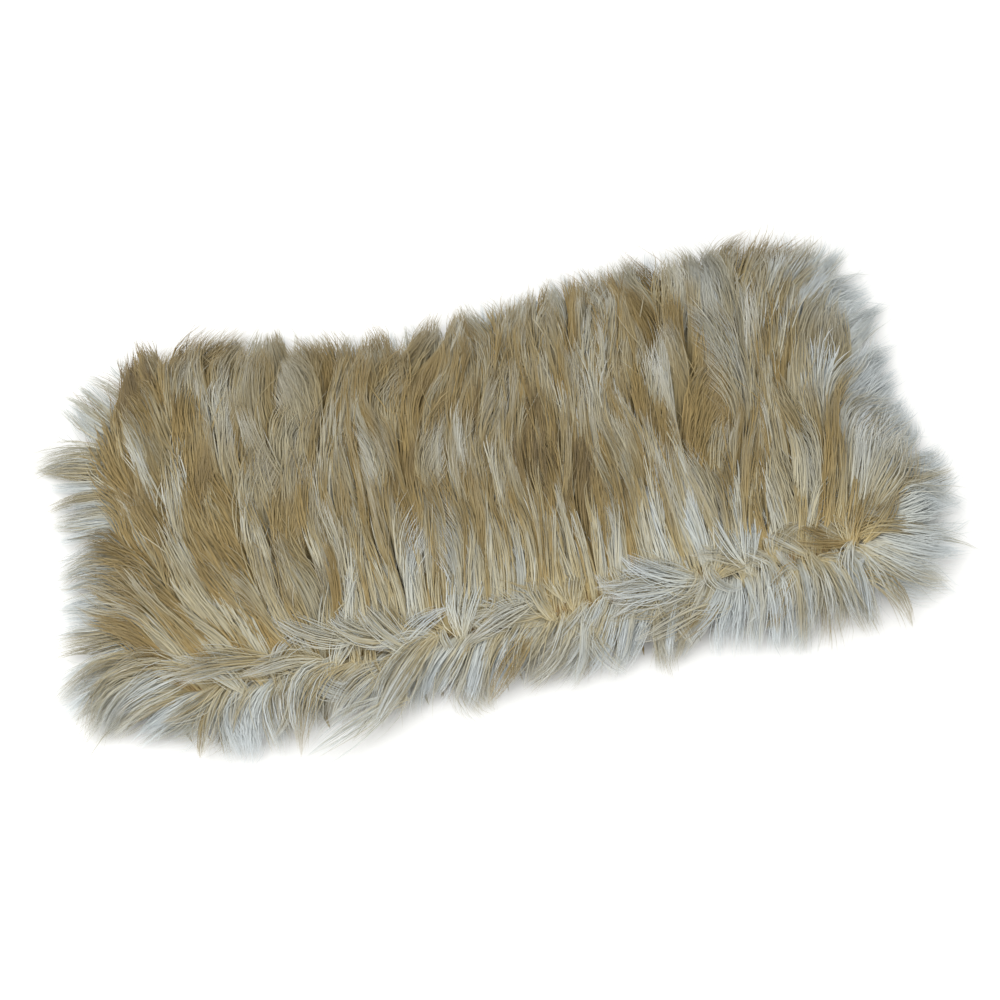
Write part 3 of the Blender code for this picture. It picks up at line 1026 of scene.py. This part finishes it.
def grow_seam(roots, turn, bend, lift, shorter):
    """Paths that rise a little out of the seam and come to lie on the pile."""

    def pitch(share):
        rise = np.radians(SEAM_RISE) * lift * (1 - share) ** SEAM_LEVELLING
        return rise - np.radians(SEAM_FALL) * share

    return run_strands(roots, PILE_LENGTH * (1 - shorter), turn, bend, pitch, STRAIGHT_NAP)


chance = np.random.default_rng(401)
along = np.linspace(*SMALL_SPAN, SMALL_SEAM_LOCKS)
along = along + chance.normal(0, SMALL_SHIFT, SMALL_SEAM_LOCKS)
forward = chance.random(SMALL_SEAM_LOCKS) < SMALL_FORWARD_SHARE
heading = np.where(forward, *SMALL_HEADINGS) + chance.normal(0, SMALL_TURN, SMALL_SEAM_LOCKS)
small_locks = np.column_stack(
    [
        MIDDLE_X + along,
        SEAM_Y + chance.normal(*SMALL_OFFSET, SMALL_SEAM_LOCKS),
        heading,
        heading + chance.normal(0, SMALL_BEND, SMALL_SEAM_LOCKS),
        chance.uniform(*SMALL_REACH, SMALL_SEAM_LOCKS),
        chance.normal(*SMALL_TONE, SMALL_SEAM_LOCKS),
        chance.uniform(*SMALL_STRANDS, SMALL_SEAM_LOCKS),
    ]
)
shared = np.repeat(np.array(SEAM_LOCKS, dtype=float), SEAM_LOCK_SHARES, axis=0)
shared += chance.normal(0, 1, shared.shape) * SEAM_LOCK_SPREAD
shared[:, 6] /= SEAM_LOCK_SHARES
rows = np.concatenate([shared, small_locks])
starts = np.column_stack([rows[:, 0], rows[:, 1], np.full(len(rows), SEAM_LOCK_HEIGHT)])
turns, bends = np.radians(rows[:, 2]), np.radians(rows[:, 3] - rows[:, 2])
lock_paths = grow_seam(starts, turns, bends, np.ones(len(rows)), 1 - rows[:, 4])
owner = np.repeat(np.arange(len(rows)), rows[:, 6].astype(int))
count = len(owner)
strand_starts = starts[owner] + chance.normal(0, SEAM_LOCK_SIZE, (count, 3)) * SEAM_LOCK_SHAPE
strand_turns = turns[owner] + np.radians(chance.normal(0, SEAM_STRAND_TURN, count))
strand_bends = bends[owner] + np.radians(chance.normal(0, SEAM_STRAND_BEND, count))
lifts = 1 + chance.normal(0, SEAM_STRAND_LIFT, count)
shorter = np.abs(chance.normal(0, SEAM_STRAND_SHORTNESS, count))
shorter = 1 - rows[owner, 4] * (1 - np.minimum(SEAM_STRAND_SHORTEST, shorter))
paths = wave(grow_seam(strand_starts, strand_turns, strand_bends, lifts, shorter), chance)
share = np.linspace(0, 1, STRAND_POINTS)[None, :, None]
pull = SEAM_LOCK_PULL[0] - SEAM_LOCK_PULL[1] * chance.random(count) ** 2
paths = drape(paths + pull[:, None, None] * share * (lock_paths[owner] - paths))
tone = rows[owner, 5] + SEAM_TONE_SHIFT + chance.normal(0, SEAM_TONE_SPREAD, count)
groom = (paths, tone, lock_paths[owner])
seam_locks = make_ribbons("seam_locks", groom, chance, EDGE_WIDTH)


# The pile under the wrap: the same hair pressed flat between the under backing and the
# table, running forward from the back edge.

UNDER_STRANDS = 3200
UNDER_WIDTH = 0.0042
UNDER_LENGTH = 0.044
UNDER_DROP = 38
UNDER_LEVELLING = 2.2
UNDER_INSET = 0.002
UNDER_NAP = ((0.0, 0.0, 180),)


def grow_under(roots, turn, bend, lift, shorter):
    """Paths that leave the backing downwards and bend flat along the table."""
    drop = np.radians(-UNDER_DROP) * lift

    def pitch(share):
        return drop * (1 - share) ** UNDER_LEVELLING

    return run_strands(roots, UNDER_LENGTH * (1 - shorter), turn, bend, pitch, UNDER_NAP)


chance = np.random.default_rng(501)
places = scatter_on_panel(UNDER_STRANDS, UNDER_INSET, chance)
x, y = lay(places[:, 0], places[:, 1])
roots = np.column_stack([x, y, np.full(len(x), UNDER_LEVEL)])
paths, tone, lock_paths = make_locks(roots, np.column_stack([x, y]), grow_under, chance)
groom = (paths, TONE_MIDDLE + tone, lock_paths)
under_pile = make_ribbons("under_pile", groom, chance, UNDER_WIDTH)
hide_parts("under_panel")
